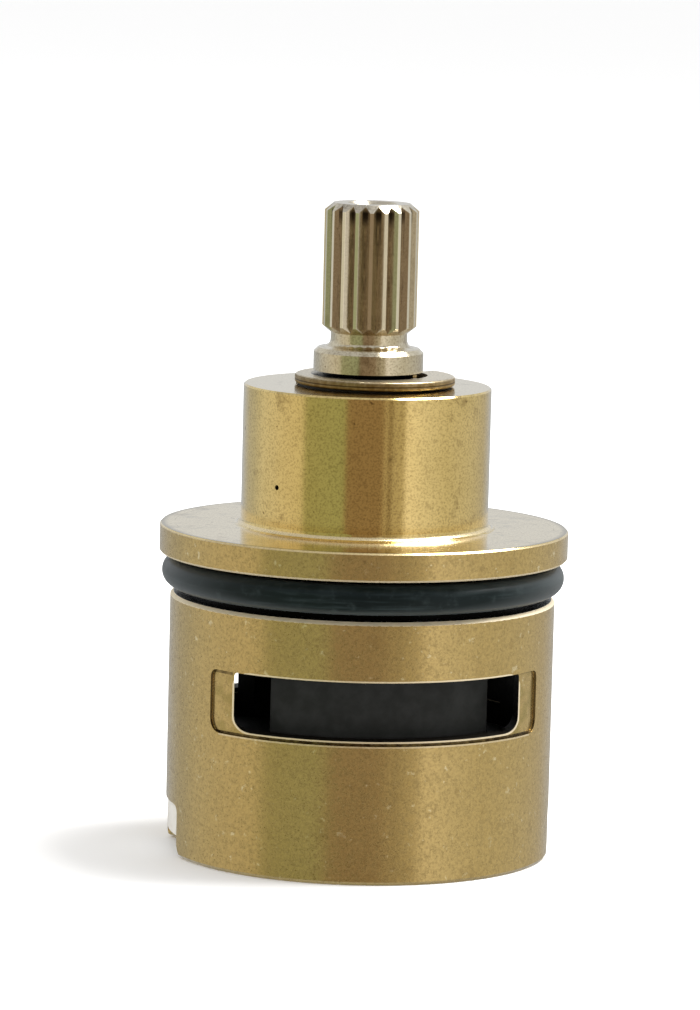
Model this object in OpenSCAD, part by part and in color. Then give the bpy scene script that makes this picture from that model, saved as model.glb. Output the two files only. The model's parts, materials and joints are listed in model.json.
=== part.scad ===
// Two-outlet ceramic-disc diverter cartridge.
// +Z runs up the spindle, z = 0 is the bottom rim of the body, the water windows face -Y and +Y,
// and the two keying notches and the two outlets lie on -X and +X.

/* [Body] */
// Diameter of the clamping flange
flange_d = 35; // [34.8:0.1:36]
// Thickness of the clamping flange
flange_t = 2.45; // [1.8:0.05:3]
// Diameter of the skirt below the flange
skirt_d = 33; // [32.8:0.1:33.4]
// Height of the skirt, from the bottom rim to the O-ring groove
skirt_h = 22.2; // [22.2:0.1:24]
// Height of the O-ring groove between skirt and flange
groove_h = 3.45; // [3.3:0.05:4.2]
// Diameter of the groove floor
groove_d = 29.3; // [28.8:0.1:29.8]
// Diameter of the hub above the flange
hub_d = 21.2; // [20.6:0.1:22]
// Height of the hub above the flange
hub_h = 12.1; // [11.5:0.1:14]
// Bore of the skirt
cavity_d = 29; // [28.8:0.1:29.2]
// Bore of the hub, in which the spindle's journal turns
bore_d = 14.2; // [14:0.1:14.4]
// Hole in the top of the hub, which the spindle's neck passes
top_hole_d = 9.5; // [9.4:0.1:10]

/* [Windows and notches] */
// Width of a water window, across the body
window_w = 24.1; // [20:0.1:24.4]
// Height of the window's lower edge
window_z = 12.1; // [11.5:0.1:12.5]
// Height of the window's opening
window_h = 5.0; // [4.5:0.1:5.4]
// Radius of the window's lower corners
window_corner = 1.2; // [0.8:0.1:1.6]
// Depth of the shallow recess around the window
recess_depth = 0.25; // [0.15:0.05:0.5]
// Half of the angle that the recess spans
recess_half_angle = 57; // [52:1:62]
// Width of a keying notch in the bottom rim
notch_w = 8.0; // [7:0.2:9]
// Height of a keying notch
notch_h = 4.4; // [4.4:0.1:5]

/* [Spindle] */
// Diameter over the spline's teeth
spline_d = 8.06; // [7.9:0.02:8.2]
// Diameter at the bottom of the spline's grooves
spline_root_d = 6.9; // [6.8:0.1:7.2]
// Number of teeth of the spline
spline_teeth = 20; // [18:1:24]
// Length of the splined end, chamfers included
spline_l = 11.05; // [8:0.05:16]
// Diameter of the collar below the spline
collar_d = 9.4; // [9:0.1:9.4]
// Core diameter of the thread for the handle screw
screw_hole_d = 3.3; // [2.5:0.1:3.3]
// Depth of the screw hole
screw_hole_l = 10; // [6:0.5:12]
// How far the spindle turns each way from the shut middle position
half_turn = 90; // [60:5:90]

/* [Seals and discs] */
// Section of the large O-ring
body_ring_section = 2.6; // [2.4:0.1:2.6]
// Section of the two small O-rings on the spindle
spindle_ring_section = 1.78; // [1.6:0.02:1.8]
// Thickness of the fixed disc
fixed_disc_t = 2.6; // [2.4:0.1:2.6]
// Thickness of the moving disc
moving_disc_t = 3.0; // [2.6:0.1:3]
// Half of the angle that each water port spans
port_half_angle = 38; // [30:1:40]

/* [Hidden] */
$fn = 96;
over = 1;                      // how far a cutter runs past the face that it opens
hair = 0.02;                   // keeps a rounding from just touching the line that it ends on

// body
skirt_r = skirt_d / 2;
flange_r = flange_d / 2;
groove_r = groove_d / 2;
hub_r = hub_d / 2;
cavity_r = cavity_d / 2;
bore_r = bore_d / 2;
top_hole_r = top_hole_d / 2;
flange_z = skirt_h + groove_h;
flange_top = flange_z + flange_t;
hub_top = flange_top + hub_h;
cavity_top = skirt_h - 1.4;
chamber_r = cavity_r - 2.3;
chamber_top = flange_z + 0.35;
bore_top = hub_top - 2.8;
edge = 0.3;                    // the common edge chamfer
fine_edge = 0.15;              // the finer one on the flange and the hub
hub_fillet = 0.6;
bore_lead_in = 0.4;
snap_z = 0.6;
snap_h = 0.7;
snap_depth = 0.25;
snap_slope = 0.1;
pinhole_r = 0.22;
pinhole_l = 1.4;
pinhole_z = flange_top + 4;
pinhole_angle = -52;

// windows and notches
window_top_corner = 0.3;
recess_drop = 0.35;            // how far the recess reaches below the window; their tops are level
recess_z = window_z - recess_drop;
recess_h = window_h + recess_drop;
recess_corners = [1.1, 0.6];   // the radius of the lower and of the upper corners
notch_mouth_r = 1.45;
notch_top_r = 0.7;

// stack of parts in the skirt, from the bottom up
base_z = 0.3;
film = 0.03;                   // water film between the lapped discs
fixed_disc_z = 1.7;
base_t = fixed_disc_z - base_z - 0.02;
fixed_disc_r = cavity_r - 0.3;
ear_r = skirt_r - 0.2;
ear_w = notch_w - 0.6;
moving_disc_z = fixed_disc_z + fixed_disc_t + film;
moving_disc_r = cavity_r - 1.6;
key_w = 3;
key_depth = 1.2;
key_gap = 0.1;
port_r = 7.8;                  // radius of the ports' middle line
port_w = 5.4;
seal_wall = 1.1;
seal_z = 0.05;

// carrier
carrier_r = cavity_r - 0.5;
carrier_rim_z = moving_disc_z + 0.6;
carrier_plate_z = moving_disc_z + moving_disc_t;
carrier_plate_top = carrier_plate_z + 2.5;
carrier_roof_z = cavity_top - 3.2;
carrier_top = cavity_top - 0.2;
boss_r = chamber_r - 0.4;
boss_top = cavity_top + 2.2;
leg_half_angle = 41.5;
leg_turn = 1.5;                // the legs stand a little round from the port's middle
leg_set_in = 0.1;              // the legs' outer face lies this far inside the rims of plate and roof
leg_wall = 2;
slot_floor = carrier_roof_z + 1.9;
slot_gap = 0.15;

// the slip washer lies in a shallow seat in the top of the hub
slip_washer_r = 6.0;
slip_washer_t = 0.3;
seat_r = slip_washer_r + 0.15;
seat_depth = 0.2;

// spindle
spline_r = spline_d / 2;
spline_root_r = spline_root_d / 2;
crest_half_angle = 2;
spline_phase = -7.5;
collar_r = collar_d / 2;
neck_r = spline_root_r - 0.17;
clip_groove_z = hub_top + slip_washer_t - seat_depth;
clip_groove_h = 1.15;
clip_groove_r = 3.85;
collar_top = hub_top + 3.2;
collar_round = 0.35;
neck_flare = 0.6;
spline_z = hub_top + 4.5;
spindle_top = spline_z + spline_l;
spline_low_chamfer = 0.6;
spline_dip = 0.3;              // how far neck and spline reach into each other
spline_top_chamfer = 0.63;
journal_r = bore_r - 0.05;
journal_top = bore_top - 0.6;
lever_top = chamber_top - 0.4; // the lever is the half disc that meets the stop pin
lever_t = 2.4;
lever_z = lever_top - lever_t;
lever_r = chamber_r - 0.3;
core_r = 7.4;
tang_w = 5;
tang_l = 14.6;
tang_z = slot_floor + 0.2;
ring_groove_h = 2.3;
ring_groove_z = [28.9, 32.9];  // the lower and the upper groove
spindle_ring_r = bore_r - 0.03 - spindle_ring_section / 2;
ring_groove_r = spindle_ring_r - spindle_ring_section / 2 - 0.02;

// small parts
body_ring_r = 17.25 - body_ring_section / 2;
body_ring_z = skirt_h + 1.8;
clip_r = 6.85;
clip_hole_r = 4.5;
clip_t = 0.8;
clip_shift = 0.6;              // the clip sits off centre, as it was pushed on from the side
clip_shift_angle = 82.5;
clip_gap_angle = 129.5;
clip_gap = 1.5;
clip_edge = 0.25;
washer_hole_r = top_hole_r + 0.1;
thrust_washer_t = 0.5;
pin_r = 1;
pin_pitch_r = 8.9;
pin_z = lever_z + 0.4;
pin_l = 5.6;
pin_chamfer = 0.25;
stop_slack = 0.3;              // degrees of free travel before the pin

// Turns what is drawn on the -Y side by an angle towards +X
module turned(angle) {
    rotate([0, 0, angle])
        children();
}

// A ring about the Z axis, from radius low to radius high
module ring(low, high, z, h) {
    translate([0, 0, z])
        difference() {
            cylinder(r = high, h = h);
            translate([0, 0, -over])
                cylinder(r = low, h = h + 2 * over);
        }
}

// A sector of a ring, centred on -Y
module ring_sector(low, high, z, h, half_angle) {
    translate([0, 0, z])
        rotate_extrude(angle = 2 * half_angle, start = -90 - half_angle)
            translate([low, 0])
                square([high - low, h]);
}

// A rectangle with round corners, centred on the Y axis and standing on the X axis
module rounded_slot(w, h, low, high) {
    translate([-w / 2 + low, 0])
        square([w - 2 * low, h]);
    translate([-w / 2, low])
        square([w, h - low - high]);
    translate([-w / 2 + high, low])
        square([w - 2 * high, h - low]);
    for (side = [-1, 1], corner = [[low, low], [high, h - high]])
        translate([side * (w / 2 - corner[0]), corner[1]])
            circle(r = corner[0] - hair);
}

function polar(r, angle) = [r * cos(angle), r * sin(angle)];

// A ring sector in the plane, centred on +X, under 90 degrees each way
module flat_sector(low, high, half_angle) {
    reach = 3 * high;
    intersection() {
        difference() {
            circle(r = high);
            circle(r = low);
        }
        polygon([[0, 0], polar(reach, -half_angle), polar(reach, half_angle)]);
    }
}

// Kidney-shaped outline of a water port, centred on +X and grown outwards by wall
module kidney(wall) {
    end_angle = port_half_angle - asin(port_w / 2 / port_r);
    flat_sector(port_r - port_w / 2 - wall, port_r + port_w / 2 + wall, end_angle);
    for (side = [-1, 1])
        translate(polar(port_r, side * end_angle))
            circle(r = port_w / 2 + wall - hair);
}

// A water port as a solid, with its middle turned from +X by angle
module port(z, h, angle, wall = 0) {
    translate([0, 0, z])
        rotate([0, 0, angle])
            linear_extrude(height = h)
                kidney(wall);
}

module body_outline() {
    polygon([
        [0, 0],
        [skirt_r - edge, 0],
        [skirt_r, edge],
        [skirt_r, skirt_h - edge],
        [skirt_r - edge, skirt_h],
        [groove_r, skirt_h],
        [groove_r, flange_z],
        [flange_r - fine_edge, flange_z],
        [flange_r, flange_z + fine_edge],
        [flange_r, flange_top - fine_edge],
        [flange_r - fine_edge, flange_top],
        [hub_r, flange_top],
        [hub_r, hub_top - fine_edge],
        [hub_r - fine_edge, hub_top],
        [0, hub_top]
    ]);
    difference() {
        translate([hub_r - over, flange_top - over])
            square(over + hub_fillet);
        translate([hub_r + hub_fillet, flange_top + hub_fillet])
            circle(r = hub_fillet);
    }
}

module body_hollow() {
    polygon([
        [0, -over],
        [cavity_r + edge, -over],
        [cavity_r + edge, 0],
        [cavity_r, edge],
        [cavity_r, snap_z],
        [cavity_r + snap_depth, snap_z + snap_slope],
        [cavity_r + snap_depth, snap_z + snap_h - snap_slope],
        [cavity_r, snap_z + snap_h],
        [cavity_r, cavity_top],
        [chamber_r, cavity_top],
        [chamber_r, chamber_top],
        [bore_r + bore_lead_in, chamber_top],
        [bore_r, chamber_top + bore_lead_in],
        [bore_r, bore_top],
        [top_hole_r, bore_top],
        [top_hole_r, hub_top - seat_depth],
        [seat_r, hub_top - seat_depth],
        [seat_r, hub_top + over],
        [0, hub_top + over]
    ]);
}

// A window cut straight through both sides of the skirt
module window_cut() {
    translate([0, skirt_d, window_z])
        rotate([90, 0, 0])
            linear_extrude(height = 2 * skirt_d)
                rounded_slot(window_w, window_h, window_corner, window_top_corner);
}

// What stays of a recess's square corner: the corner is at x > 0 and z = 0, and the cutter runs along Y
module corner_stop(corner) {
    difference() {
        translate([0, 0, -over])
            cube([2 * corner, 3 * over, corner + over]);
        translate([0, -over, corner])
            rotate([-90, 0, 0])
                cylinder(r = corner - hair, h = 5 * over);
    }
}

// The shallow recess around a window, on the -Y side
module recess_cut() {
    floor_r = skirt_r - recess_depth;
    difference() {
        ring_sector(floor_r, skirt_r + over, recess_z, recess_h, recess_half_angle);
        for (side = [0, 1], level = [0, 1])
            mirror([side, 0, 0])
                turned(recess_half_angle - asin(recess_corners[level] / floor_r))
                    translate([0, -skirt_r - 2 * over, recess_z + level * recess_h])
                        mirror([0, 0, level])
                            corner_stop(recess_corners[level]);
    }
}

// The keying notches, cut straight through both sides of the bottom rim
module notch_cut() {
    rotate([90, 0, 90])
        translate([0, 0, -skirt_d])
            linear_extrude(height = 2 * skirt_d) {
                translate([-notch_w / 2, -over])
                    square([notch_w, over + notch_h - notch_top_r]);
                rounded_slot(notch_w, notch_h, notch_top_r, notch_top_r);
                for (side = [0, 1])
                    mirror([side, 0])
                        difference() {
                            translate([notch_w / 2 - over, -over])
                                square([over + notch_mouth_r, over + notch_mouth_r]);
                            translate([notch_w / 2 + notch_mouth_r, notch_mouth_r])
                                circle(r = notch_mouth_r + hair);
                        }
            }
}

module valve_body() {
    color("#b08d3c")
        difference() {
            rotate_extrude()
                difference() {
                    body_outline();
                    body_hollow();
                }
            window_cut();
            recess_cut();
            rotate([0, 0, 180])
                recess_cut();
            notch_cut();
            turned(180)
                translate([0, -pin_pitch_r, chamber_top - over])
                    cylinder(r = pin_r, h = pin_z + pin_l - chamber_top + over + 0.1);
            turned(pinhole_angle)
                translate([0, -hub_r - over, pinhole_z])
                    rotate([-90, 0, 0])
                        cylinder(r = pinhole_r, h = pinhole_l + over);
        }
}

// A round-section ring about the Z axis
module o_ring(centre_r, section, z) {
    color("#1c1f22")
        translate([0, 0, z])
            rotate_extrude()
                translate([centre_r, 0])
                    circle(r = section / 2);
}

module body_o_ring() {
    o_ring(body_ring_r, body_ring_section, body_ring_z);
}

module spindle_o_ring_upper() {
    o_ring(spindle_ring_r, spindle_ring_section, ring_groove_z[1] + ring_groove_h / 2);
}

module spindle_o_ring_lower() {
    o_ring(spindle_ring_r, spindle_ring_section, ring_groove_z[0] + ring_groove_h / 2);
}

module slip_washer() {
    color("#26282a")
        ring(washer_hole_r, slip_washer_r, hub_top - seat_depth, slip_washer_t);
}

module retaining_clip() {
    color("#8a6a35")
        turned(clip_shift_angle)
            translate([0, -clip_shift, clip_groove_z + 0.02])
                difference() {
                    rotate_extrude()
                        translate([clip_hole_r, 0]) {
                            square([clip_r - clip_hole_r - clip_edge, clip_t]);
                            translate([0, clip_edge])
                                square([clip_r - clip_hole_r, clip_t - 2 * clip_edge]);
                            for (z = [clip_edge, clip_t - clip_edge])
                                translate([clip_r - clip_hole_r - clip_edge, z])
                                    circle(r = clip_edge);
                        }
                    turned(clip_gap_angle - clip_shift_angle)
                        translate([-clip_gap / 2, -clip_r - over, -over])
                            cube([clip_gap, clip_r + over, clip_t + 2 * over]);
                }
}

// The splined end: V grooves, with chamfers at both ends
module splined_end() {
    pitch = 360 / spline_teeth;
    low_z = spline_z + spline_low_chamfer;
    high_z = spindle_top - spline_top_chamfer;
    low_rise = (spline_r - neck_r) / spline_low_chamfer;
    high_rise = (spline_r - neck_r) / spline_top_chamfer;
    intersection() {
        turned(spline_phase)
            translate([0, 0, spline_z - spline_dip])
                linear_extrude(height = spline_l + spline_dip)
                    polygon([
                        for (tooth = [0 : spline_teeth - 1])
                            let (middle = tooth * pitch - 90)
                                each [
                                    polar(spline_r, middle - crest_half_angle),
                                    polar(spline_r, middle + crest_half_angle),
                                    polar(spline_root_r, middle + pitch / 2)
                                ]
                    ]);
        rotate_extrude()
            polygon([
                [0, spline_z - spline_dip],
                [neck_r - spline_dip * low_rise, spline_z - spline_dip],
                [spline_r + over * low_rise, low_z + over],
                [spline_r + over * low_rise, high_z - over],
                [spline_r + over * high_rise, high_z - over],
                [neck_r, spindle_top],
                [0, spindle_top]
            ]);
    }
}

// The turned shape of the spindle below the spline
module spindle_outline() {
    difference() {
        polygon([
            [0, lever_z],
            [core_r, lever_z],
            [core_r, lever_top],
            [journal_r, lever_top + edge],
            [journal_r, journal_top - edge],
            [journal_r - edge, journal_top],
            [collar_r, journal_top],
            [collar_r, clip_groove_z],
            [clip_groove_r, clip_groove_z],
            [clip_groove_r, clip_groove_z + clip_groove_h],
            [collar_r, clip_groove_z + clip_groove_h],
            [collar_r, collar_top - collar_round],
            [collar_r - collar_round, collar_top],
            [neck_r + neck_flare, collar_top + 0.1],
            [neck_r + neck_flare, collar_top + 0.1 + neck_flare],
            [neck_r, collar_top + 0.1 + neck_flare],
            [neck_r, spline_z + spline_dip],
            [0, spline_z + spline_dip]
        ]);
        translate([neck_r + neck_flare, collar_top + 0.1 + neck_flare])
            circle(r = neck_flare);
        for (z = ring_groove_z)
            translate([ring_groove_r, z])
                square([journal_r, ring_groove_h]);
    }
}

module spindle() {
    free_angle = half_turn + asin(pin_r / pin_pitch_r) + stop_slack;
    color("#c8b78a")
        difference() {
            union() {
                rotate_extrude()
                    spindle_outline();
                splined_end();
                difference() {
                    ring(core_r - over, lever_r, lever_z, lever_t);
                    turned(180)
                        ring_sector(core_r, lever_r + over, lever_z - over, lever_t + 2 * over, free_angle);
                }
                intersection() {
                    translate([-tang_l / 2, -tang_w / 2, tang_z])
                        cube([tang_l, tang_w, lever_z - tang_z + edge]);
                    cylinder(r = tang_l / 2 - 0.1, h = hub_top);
                }
            }
            translate([0, 0, spindle_top - screw_hole_l])
                cylinder(r = screw_hole_d / 2, h = screw_hole_l + over);
            translate([0, 0, spindle_top - 0.5])
                cylinder(r1 = screw_hole_d / 2, r2 = screw_hole_d / 2 + 1.5, h = 1.5);
        }
}

module thrust_washer() {
    color("#e8e4d8")
        ring(washer_hole_r, bore_r - 0.1, journal_top + 0.05, thrust_washer_t);
}

module stop_pin() {
    color("#b9bcc0")
        turned(180)
            translate([0, -pin_pitch_r, pin_z])
                rotate_extrude()
                    polygon([
                        [0, 0],
                        [pin_r - pin_chamfer, 0],
                        [pin_r, pin_chamfer],
                        [pin_r, pin_l - pin_chamfer],
                        [pin_r - pin_chamfer, pin_l],
                        [0, pin_l]
                    ]);
}

module disc_carrier() {
    rim_r = moving_disc_r + key_gap;
    lug_w = key_w - 2 * key_gap;
    color("#2e2f31")
        difference() {
            union() {
                ring(rim_r, carrier_r, carrier_rim_z, carrier_plate_z - carrier_rim_z + edge);
                for (side = [0, 180])
                    rotate([0, 0, side])
                        translate([rim_r - key_depth + key_gap, -lug_w / 2, carrier_rim_z])
                            cube([key_depth + leg_wall / 4, lug_w, carrier_plate_z - carrier_rim_z + edge]);
                translate([0, 0, carrier_plate_z])
                    cylinder(r = carrier_r, h = carrier_plate_top - carrier_plate_z);
                for (side = [0, 180])
                    turned(side + leg_turn)
                        ring_sector(carrier_r - leg_wall, carrier_r - leg_set_in, carrier_plate_top - edge,
                            carrier_roof_z - carrier_plate_top + 2 * edge, leg_half_angle);
                translate([0, 0, carrier_roof_z])
                    cylinder(r = carrier_r, h = carrier_top - carrier_roof_z);
                translate([0, 0, carrier_top - edge])
                    cylinder(r = boss_r, h = boss_top - carrier_top + edge);
            }
            port(carrier_plate_z - over, carrier_plate_top - carrier_plate_z + 2 * over, -90);
            translate([-tang_l / 2 - slot_gap, -tang_w / 2 - slot_gap, slot_floor])
                cube([tang_l + 2 * slot_gap, tang_w + 2 * slot_gap, boss_top - slot_floor + over]);
        }
}

module moving_disc() {
    color("#d9d4c6")
        difference() {
            translate([0, 0, moving_disc_z])
                cylinder(r = moving_disc_r, h = moving_disc_t);
            port(moving_disc_z - over, moving_disc_t + 2 * over, -90);
            for (side = [0, 180])
                rotate([0, 0, side])
                    translate([moving_disc_r - key_depth, -key_w / 2, moving_disc_z - over])
                        cube([key_depth + over, key_w, moving_disc_t + 2 * over]);
        }
}

module fixed_disc() {
    color("#efece2")
        difference() {
            union() {
                translate([0, 0, fixed_disc_z])
                    cylinder(r = fixed_disc_r, h = fixed_disc_t);
                intersection() {
                    translate([-skirt_r, -ear_w / 2, fixed_disc_z])
                        cube([skirt_d, ear_w, fixed_disc_t]);
                    cylinder(r = ear_r, h = skirt_h);
                }
            }
            for (angle = [0, 180])
                port(fixed_disc_z - over, fixed_disc_t + 2 * over, angle);
        }
}

module base_plate() {
    rib_r = cavity_r + snap_depth - 0.1;
    color("#ddd6c2")
        difference() {
            rotate_extrude()
                polygon([
                    [0, base_z],
                    [fixed_disc_r - edge, base_z],
                    [fixed_disc_r, base_z + edge],
                    [fixed_disc_r, snap_z + 0.05],
                    [rib_r, snap_z + 0.15],
                    [rib_r, snap_z + snap_h - 0.15],
                    [fixed_disc_r, snap_z + snap_h - 0.05],
                    [fixed_disc_r, base_z + base_t],
                    [0, base_z + base_t]
                ]);
            for (angle = [0, 180])
                port(base_z - over, base_t + 2 * over, angle, seal_wall);
        }
}

// A rubber ring that lines one outlet of the base plate
module outlet_seal(angle) {
    color("#1f2022")
        difference() {
            port(seal_z, base_z + base_t - seal_z, angle, seal_wall - 0.05);
            port(seal_z - over, base_t + 2 * over, angle, -0.1);
        }
}

module outlet_seal_left() {
    outlet_seal(180);
}

module outlet_seal_right() {
    outlet_seal(0);
}

valve_body();
body_o_ring();
slip_washer();
retaining_clip();
spindle();
spindle_o_ring_upper();
spindle_o_ring_lower();
thrust_washer();
stop_pin();
disc_carrier();
moving_disc();
fixed_disc();
base_plate();
outlet_seal_left();
outlet_seal_right();
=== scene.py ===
"""Two-outlet diverter cartridge: materials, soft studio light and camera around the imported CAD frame."""
import json
import math

import bpy
from mathutils import Matrix, Vector


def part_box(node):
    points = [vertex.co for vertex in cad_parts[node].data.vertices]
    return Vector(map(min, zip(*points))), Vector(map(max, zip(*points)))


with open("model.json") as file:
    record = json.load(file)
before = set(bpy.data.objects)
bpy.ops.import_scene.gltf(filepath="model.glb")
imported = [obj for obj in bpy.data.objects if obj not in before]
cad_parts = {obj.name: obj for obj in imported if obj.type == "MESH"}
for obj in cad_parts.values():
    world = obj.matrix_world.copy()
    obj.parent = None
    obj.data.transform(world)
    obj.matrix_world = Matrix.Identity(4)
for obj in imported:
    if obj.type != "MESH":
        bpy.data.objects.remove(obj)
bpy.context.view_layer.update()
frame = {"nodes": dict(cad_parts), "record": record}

MM = 0.001

# ---------------------------------------------------------------- places on the object

body_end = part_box("valve_body")[1]

# Body, from the hub's top downwards
HUB_R = 10.6 * MM
HUB_H = 12.1 * MM
HUB_FILLET = 0.6 * MM            # round the foot of the hub
HUB_TOP = body_end.z
FLANGE_R = body_end.x
FLANGE_T = 2.45 * MM
FLANGE_TOP = HUB_TOP - HUB_H
FLANGE_UNDER = FLANGE_TOP - FLANGE_T
GROOVE_H = 3.45 * MM             # height of the groove for the large O-ring
SKIRT_R = FLANGE_R - 1.0 * MM
SKIRT_TOP = FLANGE_UNDER - GROOVE_H
SKIRT_CHAMFER = 0.3 * MM
# painted shade: the inside of the body is painted dark from this height up
BORE_SHADE_FROM = 2 * MM          # height from which the inside is dark

# Windows, and the shallow recess round each
WINDOW_W = 24.1 * MM
WINDOW_H = 5.0 * MM
WINDOW_Z = 12.1 * MM
WINDOW_CORNER = 1.2 * MM
RECESS_FLOOR_R = SKIRT_R - 0.25 * MM
RECESS_Z = WINDOW_Z - 0.35 * MM
RECESS_TOP = WINDOW_Z + WINDOW_H
RECESS_STRAIGHT = 13.2 * MM      # half the recess's length, without its round corners

# Clip and spindle
CLIP_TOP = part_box("retaining_clip")[1].z
CLIP_GROOVE_Z = HUB_TOP + 0.1 * MM
CLIP_GROOVE_H = 1.15 * MM
COLLAR_R = 4.7 * MM
SPINDLE_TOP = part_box("spindle")[1].z
SPLINE_GROOVE_Z = SPINDLE_TOP - 10.55 * MM
SPLINE_CREST_R = 3.99 * MM
SPLINE_ROOT_R = (3.2 * MM, 3.72 * MM)   # the bottom of a groove lies between these radii

# Depths below the clip's top
CLIP_RIM_DEPTH = 0.08 * MM
CLIP_LINE_HIGH = 0.38 * MM       # the dark line along the rim lies between these
CLIP_LINE_LOW = 0.50 * MM
CLIP_FOOT_DEPTH = 0.66 * MM

# How far wear, dirt, painted highlights and painted shade reach from an edge or a corner
EDGE_BAND = 0.13 * MM
UNDER_RECESS_HIGHLIGHT = 0.14 * MM           # below the recess
FLANGE_HIGHLIGHT = 0.17 * MM
# the next three set how far painted shade reaches
FOOT_SHADE = 0.22 * MM            # along the recess's foot
LEFT_HEAD_SHADE = 0.30 * MM       # along the recess's head, at its left end
WALL_SHADE = 1.0 * MM             # up the recess's end walls
# how far the painted shadow of the collar reaches onto the clip
COLLAR_SHADOW_REACH = 0.2 * MM
FOOT_OVERLAP = 0.06 * MM         # how far the foot's painted shade goes below the recess
GREY_OVERLAP = 0.5 * MM          # how far the spline's grey goes below its grooves
RING_DIRT = ((0.55, 0.0), (0.23, 0.85))   # on the flange: (millimetres in from its edge, strength)
# the next table sets painted shade in the spline's grooves near the top
TOP_GROOVE_SHADE = ((2.05, 0.0), (0.95, 0.85), (0.60, 0.85), (0.50, 0.0))   # (millimetres below the top, strength)

HAIR = 0.02 * MM                 # keeps a mask off the surface next to it
FLOOR_SLACK = 0.05 * MM          # the same, for the recess's floor
MARGIN = 0.1 * MM                # the same, where nothing lies close by
FACET = 0.003 * MM               # how far inside its true radius a facet of a round wall may lie

# ---------------------------------------------------------------- colours that wear and dirt bring, and painted light and shade

SKIRT_BRASS = (0.51, 0.365, 0.145)
SKIRT_DULL = (0.37, 0.265, 0.11)
NICKED_BRASS = (0.92, 0.80, 0.52)
# painted highlight along the body's edges
PAINTED_EDGE_HIGHLIGHT = (1.0, 0.88, 0.66)
# painted shade on the walls of the recess round a window
SHADED_WALL_BRASS = (0.20, 0.15, 0.07)
# painted sheen, which pales brass seen at a glancing angle
PALE_GLANCE_SHEEN = (0.92, 0.84, 0.68)   # what brass turns to where it is seen at a glancing angle
# painted shade inside the bore
BORE_SHADE = (0.02, 0.017, 0.012)
OLIVE_STAIN = (0.30, 0.24, 0.07)
FLANGE_STAIN = (0.20, 0.18, 0.14)
FLANGE_DIRT = (0.12, 0.09, 0.04)
# painted shade in the recess's corners and along the clip's foot; it also draws the dark line along the
# clip's middle
SHADE_AND_LINE_BROWN = (0.05, 0.03, 0.01)
# near black in the O-ring groove: grease and painted shade
GREASE_AND_SHADE = (0.002, 0.002, 0.002)
SPLINE_GREY = (0.66, 0.60, 0.50)
# painted highlight on the spline's crests
CREST_HIGHLIGHT = (1.0, 0.93, 0.76)
# streaks of grime and painted shade in the spline's grooves
GROOVE_DIRT_AND_SHADE = (0.06, 0.045, 0.03)
# painted shade in the clip groove under the collar
CLIP_GROOVE_SHADE = (0.003, 0.003, 0.003)
CLIP_RIM = (0.24, 0.17, 0.08)
# painted shadow of the collar on the clip's top
COLLAR_SHADOW_ON_CLIP = (0.004, 0.004, 0.004)
RUBBER_DUST = (0.04, 0.056, 0.056)
# the next two are painted sheen on the rubber: in streaks round it, and at a glancing angle
RUBBER_SHEEN_STREAK = (0.035, 0.05, 0.052)
RUBBER_GLANCE_SHEEN = (0.09, 0.10, 0.10)

# ---------------------------------------------------------------- shader helpers

RAMP_LENGTH = 100 * MM           # the length that a ramp by length covers


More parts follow.
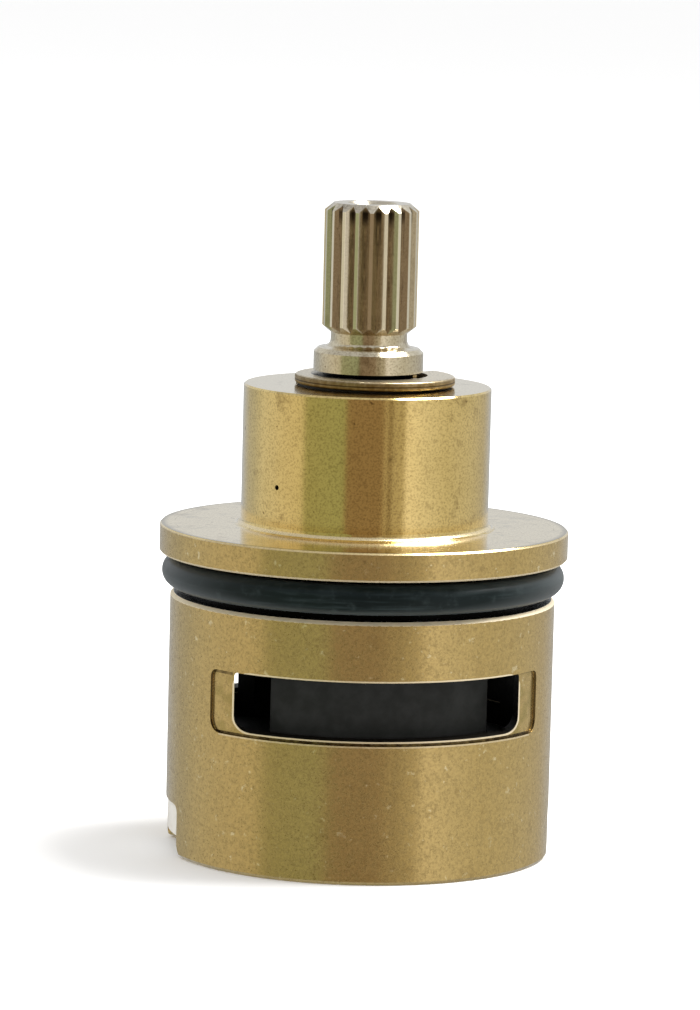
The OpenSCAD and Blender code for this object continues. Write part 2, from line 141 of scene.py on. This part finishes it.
class Shader:
    """A node tree with short calls for the nodes that the looks are made of."""

    def __init__(self, tree):
        self.tree = tree
        tree.nodes.clear()

    def node(self, kind, **settings):
        made = self.tree.nodes.new("ShaderNode" + kind)
        for name, value in settings.items():
            setattr(made, name, value)
        return made

    def plug(self, value, socket):
        """Links another node's output to a socket, or sets the socket's own value."""
        if isinstance(value, bpy.types.NodeSocket):
            self.tree.links.new(value, socket)
        else:
            socket.default_value = value

    def math(self, operation, *values):
        made = self.node("Math", operation=operation)
        for value, socket in zip(values, made.inputs):
            self.plug(value, socket)
        return made.outputs[0]

    def chain(self, operation, values):
        """One operation over any number of values, from the left."""
        result, *rest = values
        for value in rest:
            result = self.math(operation, result, value)
        return result

    def all_of(self, *masks):
        """The product of masks and strengths: nothing where any of them is 0."""
        return self.chain("MULTIPLY", masks)

    def any_of(self, *masks):
        """The largest of some masks or values."""
        return self.chain("MAXIMUM", masks)

    def above(self, value, limit):
        return self.math("GREATER_THAN", value, limit)

    def below(self, value, limit):
        return self.math("LESS_THAN", value, limit)

    def between(self, value, low, high):
        """1 where a value lies between two limits, else 0."""
        return self.all_of(self.above(value, low), self.below(value, high))

    def ramp(self, factor, *stops, smooth=True):
        """Colour or grey by a factor; each stop is (position, grey or colour)."""
        made = self.node("ValToRGB")
        made.color_ramp.interpolation = "EASE" if smooth else "LINEAR"
        points = made.color_ramp.elements
        while len(points) < len(stops):
            points.new(1)
        for point, (position, value) in zip(points, stops):
            point.position = position
            point.color = (value, value, value, 1) if isinstance(value, (int, float)) else (*value, 1)
        self.plug(factor, made.inputs[0])
        return made.outputs[0]

    def ramp_by_length(self, length, end, stops):
        """Grey by a radius or a height; each stop is (millimetres short of the end, grey)."""
        shares = [((end - short * MM) / RAMP_LENGTH, grey) for short, grey in stops]
        return self.ramp(self.math("DIVIDE", length, RAMP_LENGTH), *shares, smooth=False)

    def mix(self, factor, a, b):
        """Mixes two colours; a colour is a tuple of three or another node's output."""
        made = self.node("Mix", data_type="RGBA", clamp_factor=True)
        for value, socket in zip((factor, a, b), (made.inputs[0], made.inputs[6], made.inputs[7])):
            self.plug((*value, 1) if isinstance(value, tuple) else value, socket)
        return made.outputs[2]

    def noise(self, where, scale, detail, roughness):
        """Noise between 0 and 1; the scale is in waves per metre."""
        made = self.node("TexNoise")
        self.plug(where, made.inputs["Vector"])
        made.inputs["Scale"].default_value = scale
        made.inputs["Detail"].default_value = detail
        made.inputs["Roughness"].default_value = roughness
        return made.outputs["Fac"]

    def place(self):
        """The point on the object, in metres in the part's own frame."""
        return self.node("TexCoord").outputs["Object"]

    def split(self, where):
        """The x, y and z of a place."""
        made = self.node("SeparateXYZ")
        self.plug(where, made.inputs[0])
        return made.outputs

    def length(self, across, along):
        """The length of a step that goes one distance across and another along."""
        square = self.math("ADD", self.math("MULTIPLY", across, across), self.math("MULTIPLY", along, along))
        return self.math("SQRT", square)

    def stretched(self, *axes):
        """Coordinates for a noise of scale 1; each axis is (value, waves per metre)."""
        joined = self.node("CombineXYZ")
        for (value, scale), socket in zip(axes, joined.inputs):
            self.plug(self.math("MULTIPLY", value, scale), socket)
        return joined.outputs[0]

    def turned_place(self, round_scale, along_scale):
        """Coordinates for turning marks: long round the Z axis, fine along Z and along the radius."""
        x, y, z = self.split(self.place())
        depth = self.math("ADD", z, self.length(x, y))
        return self.stretched((x, round_scale), (y, round_scale), (depth, along_scale))

    def glancing(self, start, end, most):
        """Grows from 0 to a strength as the surface turns away from the eye."""
        facing = self.node("LayerWeight").outputs["Facing"]
        return self.ramp(facing, (start, 0.0), (end, most), smooth=False)

    def bump(self, height, distance, strength, under=None):
        made = self.node("Bump")
        made.inputs["Strength"].default_value = strength
        made.inputs["Distance"].default_value = distance
        self.plug(height, made.inputs["Height"])
        if under is not None:
            self.plug(under, made.inputs["Normal"])
        return made.outputs[0]

    def surface(self, **sockets):
        """The Principled shader and the material output."""
        made = self.node("BsdfPrincipled")
        for name, value in sockets.items():
            if isinstance(value, tuple):
                value = (*value, 1)
            self.plug(value, made.inputs[name.replace("_", " ")])
        self.plug(made.outputs[0], self.node("OutputMaterial").inputs[0])


def material(name):
    made = bpy.data.materials.new(name)
    made.use_nodes = True
    return made, Shader(made.node_tree)


class Spot:
    """Where a point lies on a turned piece, as node outputs."""

    def __init__(self, s):
        self.where = s.place()
        self.x, self.y, self.z = s.split(self.where)
        self.radius = s.length(self.x, self.y)


# ---------------------------------------------------------------- the body's wear and painted light


def skirt_brass(s, spot, low, colour):
    """Duller, scuffed brass with pale nicks on all that lies below the flange's top; gives the scuffs too."""
    scuffs = s.ramp(s.noise(spot.where, 2600, 4, 0.75), (0.38, 0.0), (0.58, 1.0), smooth=False)
    colour = s.mix(s.all_of(low, 0.75), colour, s.mix(scuffs, SKIRT_DULL, SKIRT_BRASS))
    nicks = s.ramp(s.noise(spot.where, 1100, 3, 0.7), (0.64, 0.0), (0.70, 0.6), smooth=False)
    return s.mix(s.all_of(low, nicks), colour, NICKED_BRASS), scuffs


def recess_brass(s, spot, broken, walls, colour):
    """The recess round a window: a stained floor, painted shade along its foot and head, and dull walls
    painted darker as shade, darkest at their foot.
    """
    on_floor = s.between(spot.radius, RECESS_FLOOR_R - FLOOR_SLACK, RECESS_FLOOR_R + FLOOR_SLACK)
    stains = s.ramp(s.noise(spot.where, 650, 3, 0.6), (0.42, 0.0), (0.6, 0.5))
    colour = s.mix(s.all_of(on_floor, stains), colour, OLIVE_STAIN)
    # painted shade along the recess's foot and head
    foot = s.between(spot.z, RECESS_Z - FOOT_OVERLAP, RECESS_Z + FOOT_SHADE)
    head = s.all_of(s.between(spot.z, RECESS_TOP - EDGE_BAND, RECESS_TOP + HAIR), 0.5)
    left_head = s.all_of(s.between(spot.z, RECESS_TOP - LEFT_HEAD_SHADE, RECESS_TOP + HAIR), 0.75)
    head = s.any_of(head, s.all_of(left_head, s.below(spot.x, 0.0)))
    beside_window = s.above(s.math("ABSOLUTE", spot.x), WINDOW_W / 2 + EDGE_BAND)
    shade_lines = s.any_of(foot, s.all_of(head, beside_window))
    shallow = s.between(spot.radius, RECESS_FLOOR_R - MARGIN, SKIRT_R - HAIR)
    colour = s.mix(s.all_of(shallow, broken, shade_lines), colour, SHADE_AND_LINE_BROWN)
    # the recess's walls painted darker as shade, darkest at their foot
    colour = s.mix(walls, colour, SHADED_WALL_BRASS)
    wall_foot = s.all_of(walls, s.below(spot.z, RECESS_Z + WALL_SHADE), 0.7)
    return s.mix(wall_foot, colour, SHADE_AND_LINE_BROWN)


def window_rim(s, spot):
    """1 on the edge round a window, which is a rectangle with round corners."""
    aside = s.math("ABSOLUTE", spot.x)
    beside = s.any_of(s.math("SUBTRACT", aside, WINDOW_W / 2 - WINDOW_CORNER), 0.0)
    rise = s.math("ABSOLUTE", s.math("SUBTRACT", spot.z, WINDOW_Z + WINDOW_H / 2))
    rise = s.any_of(s.math("SUBTRACT", rise, WINDOW_H / 2 - WINDOW_CORNER), 0.0)
    near = s.below(s.length(beside, rise), WINDOW_CORNER + EDGE_BAND)
    return s.all_of(near, s.above(spot.radius, RECESS_FLOOR_R - MARGIN))


def painted_edge_highlights(s, spot, broken):
    """Painted highlights along the edges: window, recess, skirt, flange and the foot of the hub."""
    under_recess = s.all_of(s.between(spot.z, RECESS_Z - UNDER_RECESS_HIGHLIGHT, RECESS_Z - 0.5 * HAIR),
                            s.below(s.math("ABSOLUTE", spot.x), RECESS_STRAIGHT), broken, 0.6)
    skirt_edge = s.all_of(s.between(spot.z, SKIRT_TOP - SKIRT_CHAMFER - HAIR, SKIRT_TOP - HAIR),
                          s.between(spot.radius, SKIRT_R - SKIRT_CHAMFER - HAIR, SKIRT_R - FACET))
    flange_low = s.all_of(s.between(spot.z, FLANGE_UNDER - HAIR, FLANGE_UNDER + FLANGE_HIGHLIGHT), 0.85)
    flange_high = s.all_of(s.between(spot.z, FLANGE_TOP - FLANGE_HIGHLIGHT, FLANGE_TOP - HAIR), 0.22)
    flange_edge = s.all_of(s.any_of(flange_low, flange_high), s.above(spot.radius, SKIRT_R))
    hub_foot = s.all_of(s.between(spot.z, FLANGE_TOP + 0.2 * HUB_FILLET, FLANGE_TOP + 0.6 * HUB_FILLET),
                        s.below(spot.radius, HUB_R + HUB_FILLET - MARGIN), 0.45)
    return s.any_of(window_rim(s, spot), under_recess, skirt_edge, flange_edge, hub_foot)


def flange_top_brass(s, spot, colour):
    """The top of the flange: a dirty outermost ring and stains."""
    on_top = s.between(spot.z, FLANGE_TOP - 0.5 * HAIR, FLANGE_TOP + 0.5 * HAIR)
    outermost = s.ramp_by_length(spot.radius, FLANGE_R, RING_DIRT)
    colour = s.mix(s.all_of(on_top, outermost), colour, FLANGE_DIRT)
    blots = s.ramp(s.noise(spot.where, 330, 5, 0.7), (0.52, 0.0), (0.7, 0.42))
    return s.mix(s.all_of(on_top, blots), colour, FLANGE_STAIN)


def body_wear_and_painted_light(s, spot, colour):
    """The body's own looks: a duller skirt, painted shade in the bores and the recess, stains and a dirty
    ring on the flange, painted highlights on the edges, and grease with painted shade in the groove.
    """
    low = s.below(spot.z, FLANGE_TOP - MARGIN)
    colour, scuffs = skirt_brass(s, spot, low, colour)
    # painted shade inside the bore
    inside = s.all_of(s.below(spot.radius, RECESS_FLOOR_R - MARGIN),
                      s.between(spot.z, BORE_SHADE_FROM, SKIRT_TOP - MARGIN))
    colour = s.mix(inside, colour, BORE_SHADE)
    broken = s.ramp(s.noise(spot.where, 1500, 3, 0.7), (0.36, 0.7), (0.6, 1.0), smooth=False)
    walls = s.all_of(s.between(spot.radius, RECESS_FLOOR_R + FLOOR_SLACK, SKIRT_R - HAIR),
                     s.between(spot.z, RECESS_Z, RECESS_TOP))
    colour = recess_brass(s, spot, broken, walls, colour)
    # painted highlights along the edges
    edges = painted_edge_highlights(s, spot, broken)
    colour = s.mix(edges, colour, PAINTED_EDGE_HIGHLIGHT)
    colour = flange_top_brass(s, spot, colour)
    # grease and painted shade: the O-ring groove near black
    in_groove = s.all_of(s.between(spot.z, SKIRT_TOP - HAIR, FLANGE_UNDER + HAIR),
                         s.below(spot.radius, SKIRT_R - SKIRT_CHAMFER + HAIR))
    colour = s.mix(in_groove, colour, GREASE_AND_SHADE)
    dulled = s.any_of(edges, walls, inside)
    matt = s.all_of(low, s.math("SUBTRACT", 0.20, s.all_of(scuffs, 0.17)))
    metallic = s.math("SUBTRACT", 1.0, s.all_of(low, 0.12))
    return colour, s.math("ADD", matt, s.all_of(dulled, 0.35)), metallic


# ---------------------------------------------------------------- the wear and painted light of spindle and clip


def spindle_wear_and_painted_light(s, spot, colour):
    """The spindle's own looks: a greyer spline with a painted highlight on its crests, streaks of grime with
    painted shade in its grooves, and painted shade in the clip groove.

    The darkening runs down the spline's grooves and is darkest near their tops, as painted shade.
    """
    on_spline = s.above(spot.z, SPLINE_GROOVE_Z - GREY_OVERLAP)
    colour = s.mix(s.all_of(on_spline, 0.6), colour, SPLINE_GREY)
    # painted highlight on the crests
    crest = s.all_of(on_spline, s.above(spot.radius, SPLINE_CREST_R), 0.6)
    colour = s.mix(crest, colour, CREST_HIGHLIGHT)
    # streaks of grime, with painted shade near the top, in the grooves
    streaks = s.noise(s.stretched((spot.x, 3200), (spot.y, 3200), (spot.z, 420)), 1.0, 4, 0.65)
    streaks = s.ramp(streaks, (0.46, 0.0), (0.72, 0.6), smooth=False)
    near_top = s.ramp_by_length(spot.z, SPINDLE_TOP, TOP_GROOVE_SHADE)
    deep = s.all_of(s.between(spot.radius, *SPLINE_ROOT_R), s.above(spot.z, SPLINE_GROOVE_Z))
    colour = s.mix(s.all_of(deep, s.any_of(streaks, near_top)), colour, GROOVE_DIRT_AND_SHADE)
    # painted shade in the clip groove, under the collar
    clip_groove = s.all_of(s.between(spot.z, CLIP_GROOVE_Z - HAIR, CLIP_GROOVE_Z + CLIP_GROOVE_H + HAIR),
                           s.below(spot.radius, COLLAR_R - 0.5 * HAIR))
    colour = s.mix(clip_groove, colour, CLIP_GROOVE_SHADE)
    return colour, s.all_of(on_spline, 0.08), 1.0


def clip_wear_and_painted_shade(s, spot, colour):
    """The clip's own looks: a dark stamped rim, a darker line along its middle, painted shade along its foot,
    and a painted shadow of the collar on its top.
    """
    rim = s.below(spot.z, CLIP_TOP - CLIP_RIM_DEPTH)
    rim_dirt = s.ramp(s.noise(spot.where, 1800, 4, 0.7), (0.35, 0.45), (0.62, 1.0), smooth=False)
    colour = s.mix(s.all_of(rim, rim_dirt), colour, CLIP_RIM)
    line = s.all_of(s.between(spot.z, CLIP_TOP - CLIP_LINE_LOW, CLIP_TOP - CLIP_LINE_HIGH), 0.75)
    # painted shade along the clip's foot
    foot = s.all_of(s.below(spot.z, CLIP_TOP - CLIP_FOOT_DEPTH), 0.6)
    colour = s.mix(s.any_of(line, foot), colour, SHADE_AND_LINE_BROWN)
    # painted shadow of the collar on the clip's top, in patches
    collar_shadow = s.ramp(s.noise(spot.where, 500, 3, 0.6), (0.46, 1.0), (0.56, 0.3), smooth=False)
    by_collar = s.below(spot.radius, COLLAR_R + COLLAR_SHADOW_REACH)
    colour = s.mix(s.all_of(collar_shadow, by_collar, s.math("SUBTRACT", 1.0, rim)), colour, COLLAR_SHADOW_ON_CLIP)
    return colour, s.all_of(rim, 0.15), 1.0


# ---------------------------------------------------------------- materials


def turned_brass(name, bright, dull, tarnish, roughness, wear_and_light):
    """Machined brass: turning marks, fine grain, patches of duller metal, a few small dark specks and a
    painted pale sheen at a glancing angle.

    The last argument takes the shader, the spot and a colour, and gives what is particular to one piece: the
    colour with its wear and painted light, what it adds to the roughness, and how metallic it is.
    """
    made, s = material(name)
    spot = Spot(s)
    where = spot.where
    patches = s.ramp(s.noise(where, 260, 4, 0.6), (0.35, 0.0), (0.68, 1.0))
    colour = s.mix(s.all_of(patches, 0.5), bright, dull)
    # painted sheen: brass pales at a glancing angle
    colour = s.mix(s.glancing(0.68, 0.9, 0.75), colour, PALE_GLANCE_SHEEN)
    smudges = s.ramp(s.noise(where, 420, 5, 0.65), (0.56, 0.0), (0.72, 0.5))
    colour = s.mix(smudges, colour, tarnish)
    grain = s.noise(where, 5200, 3, 0.75)
    colour = s.mix(s.ramp(grain, (0.36, 0.42), (0.56, 0.0)), colour, tarnish)
    specks = s.ramp(s.noise(where, 1300, 2, 0.5), (0.235, 1.0), (0.275, 0.0))
    colour = s.mix(s.all_of(specks, 0.75), colour, tarnish)
    colour, added, metallic = wear_and_light(s, spot, colour)
    marks = s.noise(s.turned_place(60, 9000), 1.0, 3, 0.6)
    fine = s.bump(grain, 0.005 * MM, 0.6)
    relief = s.bump(marks, 0.004 * MM, 0.5, under=fine)
    rough = s.math("ADD", s.all_of(grain, 0.12), s.math("ADD", added, roughness - 0.06))
    s.surface(Base_Color=colour, Metallic=metallic, Roughness=rough, Normal=relief)
    return made


def rubber(name, colour, roughness):
    """Black rubber with a little dust, painted sheen in streaks round it, and a painted paler sheen at a
    glancing angle.
    """
    made, s = material(name)
    where = s.place()
    dust = s.ramp(s.noise(where, 900, 4, 0.7), (0.5, 0.0), (0.75, 1.0))
    tone = s.mix(s.all_of(dust, 0.3), colour, RUBBER_DUST)
    # painted sheen in streaks round the ring
    streaks = s.ramp(s.noise(s.turned_place(150, 2600), 1.0, 3, 0.6), (0.5, 0.0), (0.72, 0.3))
    tone = s.mix(streaks, tone, RUBBER_SHEEN_STREAK)
    # painted sheen, paler at a glancing angle
    tone = s.mix(s.glancing(0.25, 0.95, 0.6), tone, RUBBER_GLANCE_SHEEN)
    skin = s.noise(where, 5000, 2, 0.5)
    rough = s.math("ADD", s.all_of(dust, 0.12), roughness)
    s.surface(Base_Color=tone, Roughness=rough, Specular_IOR_Level=0.22, Normal=s.bump(skin, 0.006 * MM, 0.4))
    return made


def moulded(name, colour, other, roughness, grain_scale=2600, gloss=0.5):
    """Moulded or sintered matter: faint mottling and a fine-grained skin."""
    made, s = material(name)
    where = s.place()
    mottle = s.ramp(s.noise(where, 500, 4, 0.6), (0.35, 0.0), (0.7, 1.0))
    tone = s.mix(mottle, colour, other)
    skin = s.noise(where, grain_scale, 3, 0.6)
    rough = s.math("ADD", s.all_of(skin, 0.1), roughness - 0.05)
    relief = s.bump(skin, 0.01 * MM, 0.5)
    s.surface(Base_Color=tone, Roughness=rough, Specular_IOR_Level=gloss, Normal=relief)
    return made


def ground_steel(name):
    """Bright steel with fine marks round it."""
    made, s = material(name)
    marks = s.noise(s.turned_place(80, 14000), 1.0, 2, 0.5)
    tone = s.mix(marks, (0.5, 0.5, 0.52), (0.64, 0.64, 0.66))
    s.surface(Base_Color=tone, Metallic=1.0, Roughness=0.28, Normal=s.bump(marks, 0.004 * MM, 0.5))
    return made


CERAMIC_GRAIN = 6000             # waves per metre
looks = {
    "body_brass": turned_brass("body_brass", (0.94, 0.72, 0.31), (0.84, 0.64, 0.26), (0.24, 0.15, 0.05),
                               0.12, body_wear_and_painted_light),
    "spindle_brass": turned_brass("spindle_brass", (0.78, 0.69, 0.51), (0.65, 0.57, 0.41),
                                  (0.25, 0.18, 0.09), 0.14, spindle_wear_and_painted_light),
    "clip_bronze": turned_brass("clip_bronze", (0.62, 0.52, 0.34), (0.46, 0.36, 0.22), (0.10, 0.06, 0.02),
                                0.3, clip_wear_and_painted_shade),
    "ring_rubber": rubber("ring_rubber", (0.001, 0.006, 0.007), 0.36),
    "seal_rubber": rubber("seal_rubber", (0.012, 0.012, 0.013), 0.48),
    "black_acetal": moulded("black_acetal", (0.012, 0.012, 0.012), (0.02, 0.02, 0.02), 0.5),
    "washer_plastic": moulded("washer_plastic", (0.72, 0.70, 0.64), (0.66, 0.63, 0.56), 0.45),
    "pin_steel": ground_steel("pin_steel"),
    "carrier_plastic": moulded("carrier_plastic", (0.012, 0.013, 0.012), (0.020, 0.021, 0.020), 0.6,
                               gloss=0.2),
    "moving_ceramic": moulded("moving_ceramic", (0.74, 0.72, 0.66), (0.68, 0.65, 0.58), 0.3, CERAMIC_GRAIN),
    "fixed_ceramic": moulded("fixed_ceramic", (0.80, 0.77, 0.70), (0.74, 0.70, 0.62), 0.35, CERAMIC_GRAIN),
    "base_plastic": moulded("base_plastic", (0.74, 0.70, 0.60), (0.68, 0.63, 0.52), 0.45),
}

slot_of = {part["node"]: part["material_slot"] for part in frame["record"]["subparts"]}
for node_name, cad_node in frame["nodes"].items():
    cad_node.data.materials.clear()
    cad_node.data.materials.append(looks[slot_of[node_name]])

# ---------------------------------------------------------------- camera

CAMERA_AZIMUTH = math.radians(-7.5)
CAMERA_ELEVATION = math.radians(7.68)
CAMERA_ROLL = math.radians(1.43)
CAMERA_DISTANCE = 440.1 * MM
LENS = 183                       # millimetres
SENSOR = 36                      # millimetres, along the picture's longer side
AIM_HEIGHT = 28 * MM
AIM_LEFT = 1.26 * MM             # the object stands a little right of the picture's middle and below it
AIM_UP = 1.78 * MM


def make_camera():
    """The camera stands at the front, a little to the left and above, and is tilted slightly."""
    data = bpy.data.cameras.new("camera")
    data.lens = LENS
    data.sensor_width = SENSOR
    data.clip_start, data.clip_end = 0.01, 50
    cam = bpy.data.objects.new("camera", data)
    bpy.context.scene.collection.objects.link(cam)
    across, forth = math.cos(CAMERA_AZIMUTH), math.sin(CAMERA_AZIMUTH)
    flat = math.cos(CAMERA_ELEVATION)
    back = Vector((forth * flat, -across * flat, math.sin(CAMERA_ELEVATION)))
    right = Vector((across, forth, 0))
    up = back.cross(right)
    middle = Vector((0, 0, AIM_HEIGHT))
    aim = middle - right * AIM_LEFT + up * AIM_UP
    cam.location = middle + back * CAMERA_DISTANCE
    look = (aim - cam.location).to_track_quat("-Z", "Y").to_matrix().to_4x4()
    cam.matrix_world = Matrix.Translation(cam.location) @ look @ Matrix.Rotation(CAMERA_ROLL, 4, "Z")
    bpy.context.scene.camera = cam


make_camera()

# ---------------------------------------------------------------- light

KEY_PLACE = Vector((0.34, 0.04, 0.60))
KEY_SIZE = (0.30, 0.40)          # metres
KEY_POWER = 6                    # watts


def make_key_light():
    """A soft light above, at the right, which throws the faint shadow on the floor."""
    data = bpy.data.lights.new("key", "AREA")
    data.shape = "RECTANGLE"
    data.size, data.size_y = KEY_SIZE
    data.energy = KEY_POWER
    made = bpy.data.objects.new("key", data)
    made.location = KEY_PLACE
    made.rotation_euler = (Vector((0, 0, AIM_HEIGHT)) - KEY_PLACE).to_track_quat("-Z", "Y").to_euler()
    bpy.context.scene.collection.objects.link(made)


make_key_light()

# What stands round the object, by angle from the camera's side, as light seen from it:
# (degrees towards the right, colour). A dark zone lies behind the camera, with a green one left of it.
SURROUND = (
    (-180, (0.50, 0.52, 0.54)),
    (-128, (0.50, 0.52, 0.54)),
    (-112, (0.64, 0.64, 0.62)),
    (-78, (0.66, 0.62, 0.52)),
    (-62, (0.64, 0.60, 0.47)),
    (-57, (0.36, 0.37, 0.22)),
    (-20, (0.34, 0.37, 0.22)),
    (-17.5, (0.27, 0.20, 0.13)),
    (16, (0.27, 0.20, 0.13)),
    (18, (0.50, 0.44, 0.32)),
    (20, (0.50, 0.44, 0.32)),
    (21, (0.20, 0.15, 0.09)),
    (23, (0.20, 0.15, 0.09)),
    (25, (0.48, 0.43, 0.32)),
    (33, (0.46, 0.41, 0.30)),
    (36, (0.50, 0.45, 0.34)),
    (38, (0.90, 0.86, 0.80)),
    (46, (0.84, 0.81, 0.75)),
    (60, (0.72, 0.70, 0.64)),
    (80, (0.60, 0.58, 0.50)),
    (118, (0.58, 0.58, 0.56)),
    (140, (0.50, 0.50, 0.50)),
    (180, (0.50, 0.52, 0.54)),
)
DOME = (1.05, 1.05, 1.05)        # the even light that falls on all that isn't a mirror
BEHIND = (0.70, 0.72, 0.74)      # the backdrop above the horizon
SKY = (0.55, 0.56, 0.58)         # the ceiling of the studio
BAND_TOP = 32                    # degrees above the horizon at which the surround gives way to the sky
SKY_FROM = 46                    # degrees above the horizon from which there is only sky
BACKDROP_FULL = 4                # degrees above the horizon from which the backdrop is at its full
BACKDROP_SIDES = (0.25, 0.36)    # shares of a turn from the camera's side: where it starts and is full
WHITE = (1.0, 1.0, 1.0)


def make_world():
    """The studio as mirrors show it, an even light for the rest, and white behind the object."""
    world = bpy.data.worlds.new("studio")
    world.use_nodes = True
    world.cycles.sampling_method = "NONE"    # light sampling can't tell mirrors from the rest
    bpy.context.scene.world = world
    s = Shader(world.node_tree)
    x, y, z = s.split(s.node("TexCoord").outputs["Generated"])
    turn = s.math("ARCTAN2", x, s.math("MULTIPLY", y, -1.0))
    turn = s.math("SUBTRACT", turn, CAMERA_AZIMUTH)
    # the share of a full turn, 0.5 on the camera's side; the whole turn added keeps it above zero
    share = s.math("FRACT", s.math("ADD", s.math("DIVIDE", turn, 2 * math.pi), 1.5))
    bands = s.ramp(share, *[((angle + 180) / 360, colour) for angle, colour in SURROUND], smooth=False)
    height = s.math("DIVIDE", s.math("ARCSINE", z), math.radians(90))
    away = s.math("ABSOLUTE", s.math("SUBTRACT", share, 0.5))
    far = s.ramp(away, (BACKDROP_SIDES[0], 0.0), (BACKDROP_SIDES[1], 1.0))
    high = s.ramp(height, (0.0, 0.0), (BACKDROP_FULL / 90, 1.0))
    seen = s.mix(s.all_of(far, high), bands, BEHIND)
    seen = s.mix(s.ramp(height, (BAND_TOP / 90, 0.0), (SKY_FROM / 90, 1.0)), seen, SKY)
    light = s.node("LightPath")
    seen = s.mix(light.outputs["Is Glossy Ray"], DOME, seen)
    seen = s.mix(light.outputs["Is Camera Ray"], seen, WHITE)
    glow = s.node("Background")
    s.plug(seen, glow.inputs[0])
    s.plug(glow.outputs[0], s.node("OutputWorld").inputs[0])


make_world()

# ---------------------------------------------------------------- floor

FLOOR_HALF = 10                  # metres
FLOOR_PALE = (0.96, 0.96, 0.96)


def make_floor():
    """A wide, plain, pale floor."""
    corners = [(x * FLOOR_HALF, y * FLOOR_HALF, 0) for x, y in ((-1, -1), (1, -1), (1, 1), (-1, 1))]
    mesh = bpy.data.meshes.new("floor")
    mesh.from_pydata(corners, [], [(0, 1, 2, 3)])
    floor = bpy.data.objects.new("floor", mesh)
    bpy.context.scene.collection.objects.link(floor)
    made, s = material("floor")
    s.surface(Base_Color=FLOOR_PALE, Roughness=0.9)
    mesh.materials.append(made)
    floor.visible_glossy = False   # the brass shows the studio around it, not the floor


make_floor()

bpy.context.scene.view_settings.view_transform = "Standard"
